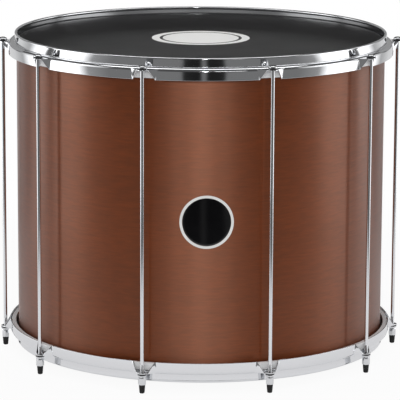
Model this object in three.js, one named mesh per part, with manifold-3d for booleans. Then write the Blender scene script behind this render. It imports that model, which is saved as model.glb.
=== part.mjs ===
// Surdo: a deep bass drum with a stained wooden shell, two black heads, two pressed steel counterhoops
// and ten tension rods that run from hoop to hoop and end in long nuts with rubber feet.
//
// Millimetres, +Z up. The origin is the middle of the circle that the rubber feet stand on, so the floor
// is at z = 0. The badge faces -Y. Station 1 is the first rod to the right of the badge, and the numbers
// go on counter-clockwise as seen from above.

import * as THREE from 'three';
import { mergeVertices } from 'three/addons/utils/BufferGeometryUtils.js';
import Module from 'manifold-3d';

const wasm = await Module();
wasm.setup();

// Counts
const stationCount = 10;
const ringSegments = 50;
const boltSegments = 10;
const rodSegments = 8;
const tipSteps = 4;
const windowSteps = 2;
const roundSteps = 2;
const beadSteps = 7;
const hexSides = 6;

// Clearances
const seatGap = 0.3; // between pieces that rest on each other
const cutOverrun = 3; // how far a cutting solid reaches past what it cuts
const threadClearance = 0.4; // rod in nut, radial
const neckClearance = 0.4; // square neck in its hole, each side
const collarClearance = 0.6; // head collar to the hoop's upper wall
const hoopClearance = 0.6; // flesh hoop to the inside of the skirt
const hemClearance = 0.3; // hem in the groove of the flesh hoop

// Shell
const shellOuterRadius = 304;
const shellWall = 8;
const shellLength = 492;
const bearingRound = 4; // round-over outside the bearing edge
const bearingBevel = 3; // bevel inside the bearing edge

// Heads
const filmThickness = 0.5;
const hemDrop = 11; // from the bearing edge down to the hem
const hemReach = 6; // how far the hem stands out from the collar
const hemThickness = 1;

// Counterhoop, pressed from one sheet
const sheet = 1.5;
const rimStand = 12.2; // rim above the playing surface
const beadRadius = 2.4; // rolled edge
const beadProud = 0.2; // rolled edge past the wall's outer face
const beadStartAngle = -22.5; // degrees, where the roll leaves the wall's outer face
const beadEndAngle = 240; // degrees, where the roll comes back to the wall's inner face
const shoulderDepth = 14.8; // rim down to the flat step
const hoopDepth = 34.2; // rim down to the mouth of the skirt
const stepWidth = 10.7; // flat step and pressed corner, from the wall's outer face to the skirt's
const shoulderRound = 5.5; // outer radius of the pressed corner

// Flesh hoop
const fleshGap = 3.4; // open space between the head's collar and the flesh hoop
const fleshHeight = 15.2;

// Ears, ten on each counterhoop
const rodStandOff = 8.8; // rod's axis out from the skirt
const earPlateDepth = 17; // rim down to the face that carries the washer
const earRootHalfWidth = 21.5;
const earMouthHalfWidth = 19;
const earTipRadius = 8.6;
const earTipSetback = 1.2; // centre of the rounded tip, inward from the rod's axis
const gussetThickness = 2;
const gussetReachShare = 0.78; // of the ear's straight side
const windowLedge = 1; // skirt left standing beside each gusset
const windowRound = 4;
const windowInset = 1.2; // below the ear's plate
const rootEmbedShare = 0.2; // of the sheet, the plate's root inside the skirt's inner face

// Tension rods
const rodRadius = 3;
const domeRadius = 7;
const domeHeight = 4.4;
const domeEdge = 0.9; // straight side of the dome
const neckLength = 4;
const rodEndInset = 3.4; // rod's end above the nut's lower end

// Washers
const upperWasherRadius = 7.8;
const upperWasherThickness = 1.8;
const lowerWasherRadius = 7.2;
const lowerWasherThickness = 1.8;

// Tuning nuts
const nutAcrossFlats = 11;
const nutLength = 15.8;
const nutFlangeRadius = 7;
const nutFlangeHeight = 1.6;
const nutConeHeight = 2;

// Rubber feet
const footHeight = 13.6;
const footTopRadius = 5.1;
const footBottomRadius = 4.2;
const footFlatRadius = 2.8;
const footRound = 1.5;
const plugHeight = 2;

// Badge
const badgeRadius = 42.5;
const badgeRimWidth = 4.2;
const badgeRimThickness = 1.2;
const badgePlateThickness = 0.8;

// Heights, from the floor up
const nutBase = footHeight + seatGap;
const nutTop = nutBase + nutLength;
const lowerWasherBase = nutTop + seatGap;
const lowerEarFace = lowerWasherBase + lowerWasherThickness + seatGap;
const bottomRim = lowerEarFace - earPlateDepth;
const headStack = seatGap + filmThickness + rimStand;
const shellBase = bottomRim + headStack;
const shellTop = shellBase + shellLength;
const topRim = shellTop + headStack;
const upperEarFace = topRim - earPlateDepth;
const upperWasherBase = upperEarFace + seatGap;
const domeBase = upperWasherBase + upperWasherThickness + seatGap;
const rodEnd = nutBase + rodEndInset;

// Radii that follow from the shell and the sheet
const collarInnerRadius = shellOuterRadius + seatGap;
const collarOuterRadius = collarInnerRadius + filmThickness;
const wallInnerRadius = collarOuterRadius + collarClearance;
const wallOuterRadius = wallInnerRadius + sheet;
const skirtOuterRadius = wallOuterRadius + stepWidth;
const skirtInnerRadius = skirtOuterRadius - sheet;
const rodCircleRadius = skirtOuterRadius + rodStandOff;
const fleshInnerRadius = collarOuterRadius + fleshGap;
const fleshOuterRadius = skirtInnerRadius - hoopClearance;
const hemRadius = collarOuterRadius + hemReach;
const facetShare = Math.cos(Math.PI / ringSegments); // of a radius, out to the middle of a facet

// Finishes
const finishes = {
  stainedWood: { color: 0x7a3a22, roughness: 0.42, metalness: 0 },
  blackFilm: { color: 0x1d1b1c, roughness: 0.6, metalness: 0 },
  chrome: { color: 0xd8dadd, roughness: 0.1, metalness: 1 },
  aluminium: { color: 0xb9bcc0, roughness: 0.35, metalness: 1 },
  blackRubber: { color: 0x161616, roughness: 0.75, metalness: 0 },
  blackEnamel: { color: 0x101012, roughness: 0.25, metalness: 0 },
  whiteEnamel: { color: 0xf2f2f0, roughness: 0.3, metalness: 0 },
};

// A named mesh with its own material.
function piece(name, geometry, finish) {
  const mesh = new THREE.Mesh(geometry, new THREE.MeshStandardMaterial(finishes[finish]));
  mesh.name = name;
  return mesh;
}

// Points along an arc; the angles are in degrees from the first axis towards the second.
function arcPoints(centreX, centreY, radius, startAngle, endAngle, steps) {
  const points = [];
  for (let step = 0; step <= steps; step += 1) {
    const angle = THREE.MathUtils.degToRad(startAngle + ((endAngle - startAngle) * step) / steps);
    points.push([centreX + radius * Math.cos(angle), centreY + radius * Math.sin(angle)]);
  }
  return points;
}

// A turned solid about Z from [radius, height] points, whichever way round they are listed.
function turned(profile, segments) {
  const points = profile.map(([radius, height]) => new THREE.Vector2(radius, height));
  if (!THREE.ShapeUtils.isClockWise(points)) {
    points.reverse();
  }
  if (points[0].x > 0 || points[points.length - 1].x > 0) {
    points.push(points[0].clone());
  }
  points.reverse();
  return new THREE.LatheGeometry(points, segments).rotateX(Math.PI / 2);
}

// A closed solid made ready for joining and cutting.
function solid(geometry) {
  const bare = geometry.clone();
  bare.deleteAttribute('normal');
  bare.deleteAttribute('uv');
  const merged = mergeVertices(bare);
  const triangles = [];
  for (let i = 0; i < merged.index.count; i += 3) {
    const corners = [merged.index.getX(i), merged.index.getX(i + 1), merged.index.getX(i + 2)];
    if (new Set(corners).size === 3) {
      triangles.push(...corners);
    }
  }
  return new wasm.Manifold(new wasm.Mesh({
    numProp: 3,
    vertProperties: new Float32Array(merged.attributes.position.array),
    triVerts: new Uint32Array(triangles),
  }));
}

// The geometry of a joined or cut solid.
function fromSolid(body) {
  const mesh = body.getMesh();
  const geometry = new THREE.BufferGeometry();
  geometry.setAttribute('position', new THREE.BufferAttribute(new Float32Array(mesh.vertProperties), 3));
  geometry.setIndex(new THREE.BufferAttribute(new Uint32Array(mesh.triVerts), 1));
  geometry.computeVertexNormals();
  return geometry;
}

// A closed prism between two like triangles, given as arrays of three corners.
function triangularPrism(outer, inner) {
  const corners = [...outer, ...inner];
  const geometry = new THREE.BufferGeometry().setFromPoints(corners);
  geometry.setIndex([0, 1, 2, 3, 5, 4, 0, 3, 4, 0, 4, 1, 1, 4, 5, 1, 5, 2, 2, 5, 3, 2, 3, 0]);
  return geometry;
}

// A disc or bar along Z that starts at the given height.
function bar(radius, base, length, segments) {
  const geometry = new THREE.CylinderGeometry(radius, radius, length, segments);
  return geometry.rotateX(Math.PI / 2).translate(0, 0, base + length / 2);
}

// Ply tube with rounded bearing edges.
function shellGeometry() {
  const inner = shellOuterRadius - shellWall;
  const roundCentre = shellOuterRadius - bearingRound;
  return turned([
    [inner, bearingBevel],
    [inner + bearingBevel, 0],
    ...arcPoints(roundCentre, bearingRound, bearingRound, -90, 0, roundSteps),
    ...arcPoints(roundCentre, shellLength - bearingRound, bearingRound, 0, 90, roundSteps),
    [inner + bearingBevel, shellLength],
    [inner, shellLength - bearingBevel],
  ], ringSegments);
}

// Film head with its collar and hem; z = 0 is the bearing edge it lies on.
function headGeometry() {
  const roundCentre = shellOuterRadius - bearingRound;
  const innerRound = bearingRound + seatGap;
  const outerRound = innerRound + filmThickness;
  return turned([
    [0, seatGap + filmThickness],
    ...arcPoints(roundCentre, -bearingRound, outerRound, 90, 0, roundSteps),
    [collarOuterRadius, -hemDrop],
    [hemRadius, -hemDrop],
    [hemRadius, -hemDrop - hemThickness],
    [collarInnerRadius, -hemDrop - hemThickness],
    ...arcPoints(roundCentre, -bearingRound, innerRound, 0, 90, roundSteps),
    [0, seatGap],
  ], ringSegments);
}

// Flesh hoop with the groove that grips the hem; z = 0 is the bearing edge of its head.
function fleshHoopGeometry() {
  const top = headStack - shoulderDepth - sheet - seatGap;
  const base = top - fleshHeight;
  const grooveTop = -hemDrop + hemClearance;
  const grooveBase = -hemDrop - hemThickness - hemClearance;
  const grooveRadius = hemRadius + hemClearance;
  const bevel = shoulderRound - sheet;
  return turned([
    [fleshInnerRadius, top],
    [fleshOuterRadius - bevel, top],
    [fleshOuterRadius, top - bevel],
    [fleshOuterRadius, base],
    [fleshInnerRadius, base],
    [fleshInnerRadius, grooveBase],
    [grooveRadius, grooveBase],
    [grooveRadius, grooveTop],
    [fleshInnerRadius, grooveTop],
  ], ringSegments);
}

// Section of the counterhoop without its ears; z = 0 is the rim and the skirt hangs below it.
function hoopRing() {
  const beadCentre = wallOuterRadius + beadProud - beadRadius;
  const roundCentre = skirtOuterRadius - shoulderRound;
  const roundHeight = -shoulderDepth - shoulderRound;
  const innerRound = shoulderRound - sheet;
  return turned([
    ...arcPoints(beadCentre, -beadRadius, beadRadius, beadStartAngle, beadEndAngle, beadSteps),
    [wallInnerRadius, -2 * beadRadius],
    [wallInnerRadius, -shoulderDepth - sheet],
    ...arcPoints(roundCentre, roundHeight, innerRound, 90, 0, roundSteps),
    [skirtInnerRadius, -hoopDepth],
    [skirtOuterRadius, -hoopDepth],
    ...arcPoints(roundCentre, roundHeight, shoulderRound, 0, 90, roundSteps),
    [wallOuterRadius, -shoulderDepth],
  ], ringSegments);
}

// Where an ear's straight side starts at the skirt and where it meets the rounded tip, for +Y side.
function earSide() {
  const root = new THREE.Vector2(skirtInnerRadius * facetShare - sheet * rootEmbedShare, earRootHalfWidth);
  const tipCentre = new THREE.Vector2(rodCircleRadius - earTipSetback, 0);
  const toRoot = root.clone().sub(tipCentre);
  const tangentAngle = toRoot.angle() - Math.acos(earTipRadius / toRoot.length());
  const tangent = new THREE.Vector2(Math.cos(tangentAngle), Math.sin(tangentAngle));
  return { root, tipCentre, tangentAngle, tip: tangent.multiplyScalar(earTipRadius).add(tipCentre) };
}

// Flat plate of one ear, pointing along +X.
function earPlate() {
  const { root, tipCentre, tangentAngle, tip } = earSide();
  const outline = new THREE.Shape();
  outline.moveTo(root.x, -root.y);
  outline.lineTo(tip.x, -tip.y);
  outline.absarc(tipCentre.x, tipCentre.y, earTipRadius, -tangentAngle, tangentAngle, false);
  outline.lineTo(root.x, root.y);
  const options = { depth: sheet, bevelEnabled: false, curveSegments: tipSteps };
  const geometry = new THREE.ExtrudeGeometry(outline, options);
  return solid(geometry.translate(0, 0, -earPlateDepth - sheet));
}

// One triangular gusset from the plate's side back to the mouth of the skirt; side is +1 or -1.
function earGusset(side) {
  const { root, tip } = earSide();
  const reach = root.clone().lerp(tip, gussetReachShare);
  const rootX = (skirtInnerRadius + sheet / 2) * facetShare;
  const outer = [
    new THREE.Vector3(rootX, side * root.y, -earPlateDepth),
    new THREE.Vector3(reach.x, side * reach.y, -earPlateDepth),
    new THREE.Vector3(rootX, side * earMouthHalfWidth, -hoopDepth),
  ];
  const inward = new THREE.Vector3(0, -side * gussetThickness, 0);
  const inner = outer.map((corner) => corner.clone().add(inward));
  return side > 0 ? solid(triangularPrism(outer, inner)) : solid(triangularPrism(inner, outer));
}

// Window in the skirt between the gussets of one ear.
function earWindow() {
  const halfWidth = earMouthHalfWidth - gussetThickness - windowLedge;
  const top = -earPlateDepth - sheet - windowInset;
  const base = -hoopDepth - cutOverrun;
  const outline = new THREE.Shape();
  outline.moveTo(-halfWidth, base);
  outline.lineTo(halfWidth, base);
  outline.absarc(halfWidth - windowRound, top - windowRound, windowRound, 0, Math.PI / 2, false);
  outline.absarc(windowRound - halfWidth, top - windowRound, windowRound, Math.PI / 2, Math.PI, false);
  const options = { depth: sheet + 2 * cutOverrun, bevelEnabled: false, curveSegments: windowSteps };
  const geometry = new THREE.ExtrudeGeometry(outline, options);
  geometry.rotateX(Math.PI / 2).rotateZ(Math.PI / 2);
  return geometry.translate(skirtInnerRadius - cutOverrun, 0, 0);
}

// Square hole for a rod's neck in one ear.
function neckHole() {
  const width = 2 * (rodRadius + neckClearance);
  const hole = new THREE.BoxGeometry(width, width, sheet + 2 * cutOverrun);
  return hole.translate(rodCircleRadius, 0, -earPlateDepth - sheet / 2);
}

// The angle about Z, in radians, that turns +X to a station.
function stationTurn(station) {
  return (2 * Math.PI * (station - 1 / 2)) / stationCount - Math.PI / 2;
}

// Counterhoop with its ten ears; z = 0 is the rim.
function counterhoopGeometry() {
  const window = earWindow();
  const hole = neckHole();
  const ear = earPlate().add(earGusset(1)).add(earGusset(-1));
  const earGeometry = fromSolid(ear);
  let hoop = solid(hoopRing());
  for (let station = 1; station <= stationCount; station += 1) {
    const turn = stationTurn(station);
    hoop = hoop.subtract(solid(window.clone().rotateZ(turn)));
    hoop = hoop.add(solid(earGeometry.clone().rotateZ(turn)));
    hoop = hoop.subtract(solid(hole.clone().rotateZ(turn)));
  }
  return fromSolid(hoop);
}

// Tension rod with a domed head and a square neck; z = 0 is the underside of the head.
function rodGeometry() {
  const length = domeBase - rodEnd;
  const turnedRod = turned([
    [0, domeHeight],
    [domeRadius / 2, domeHeight - domeEdge / 2],
    [domeRadius, domeEdge],
    [domeRadius, 0],
    [rodRadius, 0],
    [rodRadius, -length],
    [0, -length],
  ], rodSegments);
  const neckWidth = 2 * rodRadius;
  const neck = new THREE.BoxGeometry(neckWidth, neckWidth, neckLength + domeEdge);
  neck.translate(0, 0, (domeEdge - neckLength) / 2);
  return fromSolid(solid(turnedRod).add(solid(neck)));
}

// Flat ring washer; z = 0 is its lower face.
function washerGeometry(radius, holeRadius, thickness) {
  return turned([
    [holeRadius, 0],
    [radius, 0],
    [radius, thickness],
    [holeRadius, thickness],
  ], boltSegments);
}

// Long flanged hex nut; z = 0 is its lower end and the flange is at the top.
function nutGeometry() {
  const hexRadius = nutAcrossFlats / 2 / Math.cos(Math.PI / hexSides);
  const flangeBase = nutLength - nutFlangeHeight;
  const hex = solid(bar(hexRadius, 0, nutLength, hexSides));
  const flange = solid(turned([
    [0, nutLength],
    [nutFlangeRadius, nutLength],
    [nutFlangeRadius, flangeBase],
    [nutAcrossFlats / 2, flangeBase - nutConeHeight],
    [0, flangeBase - nutConeHeight],
  ], boltSegments));
  const bore = solid(bar(rodRadius + threadClearance, -cutOverrun, nutLength + 2 * cutOverrun, boltSegments));
  return fromSolid(hex.add(flange).subtract(bore));
}

// Tapered rubber foot with the plug that holds it in the nut; z = 0 is the floor.
function footGeometry() {
  return turned([
    [0, 0],
    [footFlatRadius, 0],
    [footBottomRadius, footRound],
    [footTopRadius, footHeight],
    [rodRadius, footHeight],
    [rodRadius, footHeight + plugHeight],
    [0, footHeight + plugHeight],
  ], rodSegments);
}

// A round bar along Y through the front of the shell; z = 0 is the badge's middle.
function badgeCutter(radius) {
  const cutter = new THREE.CylinderGeometry(radius, radius, shellOuterRadius, 2 * boltSegments);
  return solid(cutter.translate(0, -shellOuterRadius, 0));
}

// Sheet bent to the shell's curve and cut to the outline that the cutter gives it.
function bentSheet(cutter, thickness) {
  const back = shellOuterRadius + seatGap;
  const halfHeight = badgeRadius + cutOverrun;
  const stock = turned([
    [back, -halfHeight],
    [back + thickness, -halfHeight],
    [back + thickness, halfHeight],
    [back, halfHeight],
  ], ringSegments);
  return fromSolid(solid(stock).intersect(cutter));
}

// Black field of the badge.
function badgePlateGeometry() {
  return bentSheet(badgeCutter(badgeRadius - badgeRimWidth - seatGap), badgePlateThickness);
}

// White rim of the badge.
function badgeRingGeometry() {
  const rim = badgeCutter(badgeRadius).subtract(badgeCutter(badgeRadius - badgeRimWidth));
  return bentSheet(rim, badgeRimThickness);
}

// The drum's body: shell, heads, flesh hoops, counterhoops and badge.
function drumBody() {
  const body = new THREE.Group();
  const hoop = counterhoopGeometry();
  const head = headGeometry();
  const fleshHoop = fleshHoopGeometry();

  const shell = piece('shell', shellGeometry(), 'stainedWood');
  shell.position.z = shellBase;

  const topSide = new THREE.Group();
  topSide.position.z = shellTop;
  topSide.add(piece('batter_head', head, 'blackFilm'));
  topSide.add(piece('top_flesh_hoop', fleshHoop, 'aluminium'));

  // The lower side is the upper side turned over about X; the stations fall on themselves.
  const lowerSide = new THREE.Group();
  lowerSide.position.z = shellBase;
  lowerSide.rotation.x = Math.PI;
  lowerSide.add(piece('resonant_head', head, 'blackFilm'));
  lowerSide.add(piece('bottom_flesh_hoop', fleshHoop, 'aluminium'));

  const topHoop = piece('top_counterhoop', hoop, 'chrome');
  topHoop.position.z = topRim;
  const bottomHoop = piece('bottom_counterhoop', hoop, 'chrome');
  bottomHoop.position.z = bottomRim;
  bottomHoop.rotation.x = Math.PI;

  const badge = new THREE.Group();
  badge.position.z = shellBase + shellLength / 2;
  badge.add(piece('badge_plate', badgePlateGeometry(), 'blackEnamel'));
  badge.add(piece('badge_ring', badgeRingGeometry(), 'whiteEnamel'));

  body.add(shell, topSide, lowerSide, topHoop, bottomHoop, badge);
  return body;
}

// Everything on the axis of one station's rod.
function tensionStation(station, shapes) {
  const number = String(station).padStart(2, '0');
  const spoke = new THREE.Group();
  spoke.rotation.z = stationTurn(station);
  for (const { name, geometry, finish, height } of shapes) {
    const mesh = piece(`${name}_${number}`, geometry, finish);
    mesh.position.set(rodCircleRadius, 0, height);
    spoke.add(mesh);
  }
  return spoke;
}

// The pieces that every station has, with the height of each one's own zero.
function stationShapes() {
  const neckHoleRadius = Math.hypot(rodRadius, rodRadius) + neckClearance;
  const upperWasher = washerGeometry(upperWasherRadius, neckHoleRadius, upperWasherThickness);
  const lowerWasher = washerGeometry(lowerWasherRadius, rodRadius + threadClearance, lowerWasherThickness);
  return [
    { name: 'tension_rod', geometry: rodGeometry(), finish: 'chrome', height: domeBase },
    { name: 'upper_washer', geometry: upperWasher, finish: 'blackRubber', height: upperWasherBase },
    { name: 'lower_washer', geometry: lowerWasher, finish: 'blackRubber', height: lowerWasherBase },
    { name: 'tuning_nut', geometry: nutGeometry(), finish: 'chrome', height: nutBase },
    { name: 'rubber_foot', geometry: footGeometry(), finish: 'blackRubber', height: 0 },
  ];
}

const surdo = new THREE.Group();
surdo.add(drumBody());
const shapes = stationShapes();
for (let station = 1; station <= stationCount; station += 1) {
  surdo.add(tensionStation(station, shapes));
}

export default surdo;
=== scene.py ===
"""Surdo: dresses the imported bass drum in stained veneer, black film, plated steel and rubber.

The drum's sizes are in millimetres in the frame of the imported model, and MM turns them into
metres. The studio's sizes are in metres. Places closer than SAME_PLACE millimetres are one.
"""

from __future__ import annotations

import sys
import logging
import math
from dataclasses import dataclass, field
from enum import Enum
from typing import Callable, Iterable, Sequence

import bpy
from mathutils import Matrix, Vector


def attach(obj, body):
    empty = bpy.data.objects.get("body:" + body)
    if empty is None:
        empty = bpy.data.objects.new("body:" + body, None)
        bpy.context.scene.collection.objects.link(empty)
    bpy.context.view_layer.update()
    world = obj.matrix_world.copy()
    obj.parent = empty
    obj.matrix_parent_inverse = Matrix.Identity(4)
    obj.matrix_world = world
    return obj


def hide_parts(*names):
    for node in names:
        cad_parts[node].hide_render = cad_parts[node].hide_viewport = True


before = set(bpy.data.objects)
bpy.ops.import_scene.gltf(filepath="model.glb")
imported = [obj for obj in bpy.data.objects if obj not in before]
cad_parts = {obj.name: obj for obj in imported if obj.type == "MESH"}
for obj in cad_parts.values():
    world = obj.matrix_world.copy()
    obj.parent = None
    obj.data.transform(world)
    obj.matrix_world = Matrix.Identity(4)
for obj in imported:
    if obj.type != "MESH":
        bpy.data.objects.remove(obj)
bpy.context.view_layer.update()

MM = 0.001
SAME_PLACE = 0.01
LOG = logging.getLogger("surdo")

Point = tuple[float, float]
Place = tuple[float, float, float]
Colour = tuple[float, float, float]
Paint = tuple[float, float, float, float]
Socket = bpy.types.NodeSocket

SHELL_PIECE = "veneered_shell"
HOOP_PIECE = "top_pressed_hoop"
FILM_PIECE = "batter_film"


@dataclass(frozen=True)
class Layout:
    """Radii and heights that the sub-assemblies share."""

    station_count: int = 10
    shell_radius: float = 304.0
    shell_wall: float = 8.0
    shell_base: float = 28.1
    shell_top: float = 520.1
    top_rim: float = 533.1
    bottom_rim: float = 15.1
    rod_circle: float = 326.4
    rod_radius: float = 3.0
    seat_gap: float = 0.3
    film: float = 0.5
    sheet: float = 1.5
    ring_segments: int = 288

    def station_angle(self, station: int) -> float:
        """Angle of a station about Z from +X, in radians.

        Args:
            station: the station's number, from 1.

        Returns:
            The angle that turns +X to the station.
        """
        return math.tau * (station - 0.5) / self.station_count - math.pi / 2


LAYOUT = Layout()


class Body(Enum):
    """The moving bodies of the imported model; the rods and tuners have one per station."""

    DRUM = "drum"
    ROD = "rod"
    TUNER = "tuner"

    def at(self, station: int) -> str:
        """Name of this body at a station."""
        return f"{self.value}_{station:02d}"


def leave_edit_mode() -> None:
    """Goes back to object mode if an object is being edited."""
    if bpy.context.object and bpy.context.object.mode != "OBJECT":
        bpy.ops.object.mode_set(mode="OBJECT")


def clear_selection() -> None:
    """Leaves edit mode and deselects everything, as a new primitive needs."""
    leave_edit_mode()
    bpy.ops.object.select_all(action="DESELECT")


def take(*objects: bpy.types.Object) -> None:
    """Selects only these objects and makes the first one active.

    Args:
        objects: the objects to work on.
    """
    clear_selection()
    for thing in objects:
        thing.select_set(True)
    bpy.context.view_layer.objects.active = objects[0]


def settle(thing: bpy.types.Object) -> bpy.types.Object:
    """Moves an object's place, turn and scale into its mesh.

    Args:
        thing: the object to settle.

    Returns:
        The same object, at the origin.
    """
    take(thing)
    bpy.ops.object.transform_apply(location=True, rotation=True, scale=True)
    return thing


def added(name: str) -> bpy.types.Object:
    """Names and settles the primitive that was just added.

    Args:
        name: its name.

    Returns:
        The primitive, at the origin.
    """
    thing = bpy.context.object
    thing.name = thing.data.name = name
    return settle(thing)


def edit(thing: bpy.types.Object, part: str = "") -> None:
    """Starts editing an object, with everything in it selected.

    Args:
        thing: the object to edit.
        part: the select mode, or nothing to keep the last one.
    """
    take(thing)
    bpy.ops.object.mode_set(mode="EDIT")
    if part:
        bpy.ops.mesh.select_mode(type=part)
    bpy.ops.mesh.select_all(action="SELECT")


def select_none(part: str) -> None:
    """Sets the select mode and deselects everything in the mesh that is being edited."""
    bpy.ops.mesh.select_mode(type=part)
    bpy.ops.mesh.select_all(action="DESELECT")


def select_where(thing: bpy.types.Object, part: str, test: Callable[..., bool]) -> None:
    """Selects, in edit mode, just the vertices or faces that pass a test.

    Args:
        thing: the object that is being edited.
        part: the select mode, VERT or FACE.
        test: says of a vertex or a face whether it is wanted.
    """
    select_none(part)
    leave_edit_mode()
    for item in thing.data.vertices if part == "VERT" else thing.data.polygons:
        item.select = test(item)
    bpy.ops.object.mode_set(mode="EDIT")


def select_open_edges() -> None:
    """Selects the open edges of the mesh that is being edited."""
    select_none("EDGE")
    bpy.ops.mesh.select_non_manifold(
        extend=False,
        use_wire=False,
        use_boundary=True,
        use_multi_face=False,
        use_non_contiguous=False,
        use_verts=False,
    )


def extrude_by(x: float, y: float, z: float) -> None:
    """Extrudes the selected edges and moves the new ones.

    Args:
        x: move along X, in millimetres.
        y: move along Y.
        z: move along Z.
    """
    bpy.ops.mesh.extrude_edges_move(TRANSFORM_OT_translate={"value": (x * MM, y * MM, z * MM)})


def resize_about(scale: Place, centre: Place) -> None:
    """Scales the selection about a point.

    Args:
        scale: factor along each axis.
        centre: the fixed point, in millimetres.
    """
    bpy.ops.transform.resize(value=scale, center_override=tuple(value * MM for value in centre))


def finish_mesh(thing: bpy.types.Object, smooth_angle: float = 32.0) -> bpy.types.Object:
    """Merges doubles, turns the faces outwards and shades the mesh smooth between its edges.

    Args:
        thing: the object to finish.
        smooth_angle: edges sharper than this many degrees stay crisp.

    Returns:
        The same object.
    """
    edit(thing)
    bpy.ops.mesh.remove_doubles(threshold=SAME_PLACE * MM)
    bpy.ops.mesh.normals_make_consistent(inside=False)
    leave_edit_mode()
    bpy.ops.object.shade_smooth_by_angle(angle=math.radians(smooth_angle))
    return thing


def arc(centre: Point, radius: float, start: float, end: float, steps: int) -> list[Point]:
    """Points along an arc in a turned section.

    Args:
        centre: radius and height of the arc's centre.
        radius: the arc's radius.
        start: first angle in degrees from outwards towards up.
        end: last angle in degrees.
        steps: number of straight steps.

    Returns:
        The points, both ends included.
    """
    angles = (math.radians(start + (end - start) * step / steps) for step in range(steps + 1))
    return [(centre[0] + radius * math.cos(a), centre[1] + radius * math.sin(a)) for a in angles]


def rounded(corners: Sequence[tuple[float, float, float]], steps: int = 5) -> list[Point]:
    """Rounds the corners of a section.

    Args:
        corners: radius, height and rounding of each corner; the two ends keep a rounding of 0
            unless the section closes on itself.
        steps: straight steps in each rounding.

    Returns:
        The section's points.
    """
    points: list[Point] = []
    count = len(corners)
    for index, (r, z, rounding) in enumerate(corners):
        if rounding == 0:
            points.append((r, z))
            continue
        here = Vector((r, z))
        back = (Vector(corners[index - 1][:2]) - here).normalized()
        ahead = (Vector(corners[(index + 1) % count][:2]) - here).normalized()
        half = back.angle(ahead) / 2
        centre = here + (back + ahead).normalized() * rounding / math.sin(half)
        reach = rounding / math.tan(half)
        first = here + back * reach - centre
        last = here + ahead * reach - centre
        start = math.atan2(first.y, first.x)
        sweep = (math.atan2(last.y, last.x) - start + math.pi) % math.tau - math.pi
        for step in range(steps + 1):
            angle = start + sweep * step / steps
            points.append(
                (centre.x + rounding * math.cos(angle), centre.y + rounding * math.sin(angle))
            )
    return points


def turn(name: str, section: Sequence[Point], segments: int) -> bpy.types.Object:
    """Turns a section about Z: a circle is extruded and resized along the section's points.

    A section that starts or ends on the axis is closed there, and any other is closed on itself.

    Args:
        name: name of the new object.
        section: radius and height of each point.
        segments: faces round the axis.

    Returns:
        The turned object, at the origin.
    """
    rings = [point for point in section if point[0] > 0]
    clear_selection()
    bpy.ops.mesh.primitive_circle_add(
        vertices=segments, radius=rings[0][0] * MM, location=(0, 0, rings[0][1] * MM)
    )
    thing = added(name)
    edit(thing, "EDGE")
    for (r, z), (next_r, next_z) in zip(rings, rings[1:]):
        extrude_by(0, 0, next_z - z)
        resize_about((next_r / r, next_r / r, 1), (0, 0, next_z))
    if section[-1][0] == 0:
        extrude_by(0, 0, section[-1][1] - rings[-1][1])
        bpy.ops.mesh.merge(type="CENTER")
    if section[0][0] == 0:
        select_open_edges()
        extrude_by(0, 0, section[0][1] - rings[0][1])
        bpy.ops.mesh.merge(type="CENTER")
    if len(rings) == len(section):
        select_open_edges()
        bpy.ops.mesh.bridge_edge_loops()
    return finish_mesh(thing)


def trace(name: str, points: Sequence[Point], height: float) -> bpy.types.Object:
    """A flat face at one height: a vertex is extruded along an outline that is then filled.

    Args:
        name: name of the new object.
        points: X and Y of the outline's corners, in order.
        height: the face's height.

    Returns:
        The flat face, at the origin.
    """
    clear_selection()
    first = (*points[0], height)
    bpy.ops.mesh.primitive_plane_add(size=MM, location=[value * MM for value in first])
    thing = added(name)
    edit(thing, "VERT")
    bpy.ops.mesh.merge(type="CENTER")
    for (x, y), (next_x, next_y) in zip(points, points[1:]):
        move = ((next_x - x) * MM, (next_y - y) * MM, 0)
        bpy.ops.mesh.extrude_vertices_move(TRANSFORM_OT_translate={"value": move})
    bpy.ops.mesh.select_all(action="SELECT")
    bpy.ops.mesh.edge_face_add()
    leave_edit_mode()
    return thing


def face_up(thing: bpy.types.Object) -> None:
    """Turns an open sheet's faces so that its largest level face looks up.

    Args:
        thing: the sheet.
    """
    edit(thing)
    bpy.ops.mesh.normals_make_consistent(inside=False)
    leave_edit_mode()
    flat = max(thing.data.polygons, key=lambda face: face.area * abs(face.normal.z))
    if flat.normal.z < 0:
        edit(thing)
        bpy.ops.mesh.flip_normals()
        leave_edit_mode()


def block(
    name: str, low: Place, high: Place, rounding: float = 0, strips: int = 4
) -> bpy.types.Object:
    """A rectangular block with bevelled edges, used as stock or as a cutter.

    Args:
        name: name of the new object.
        low: lowest corner, in millimetres.
        high: highest corner.
        rounding: width of the bevel on every edge.
        strips: strips across the bevel.

    Returns:
        The block, at the origin.
    """
    clear_selection()
    middle = [(a + b) / 2 * MM for a, b in zip(low, high)]
    bpy.ops.mesh.primitive_cube_add(size=1, location=middle)
    bpy.context.object.scale = [(b - a) * MM for a, b in zip(low, high)]
    thing = added(name)
    if rounding:
        edit(thing)
        bpy.ops.mesh.bevel(offset=rounding * MM, segments=strips, affect="EDGES")
        leave_edit_mode()
    return thing


def apply_modifier(thing: bpy.types.Object, kind: str, **settings: object) -> None:
    """Adds a modifier with its settings and applies it.

    Args:
        thing: the object to change.
        kind: the modifier's type.
        settings: the modifier's own values.
    """
    take(thing)
    modifier = thing.modifiers.new(kind.lower(), kind)
    for key, value in settings.items():
        setattr(modifier, key, value)
    bpy.ops.object.modifier_apply(modifier=modifier.name)


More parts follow.
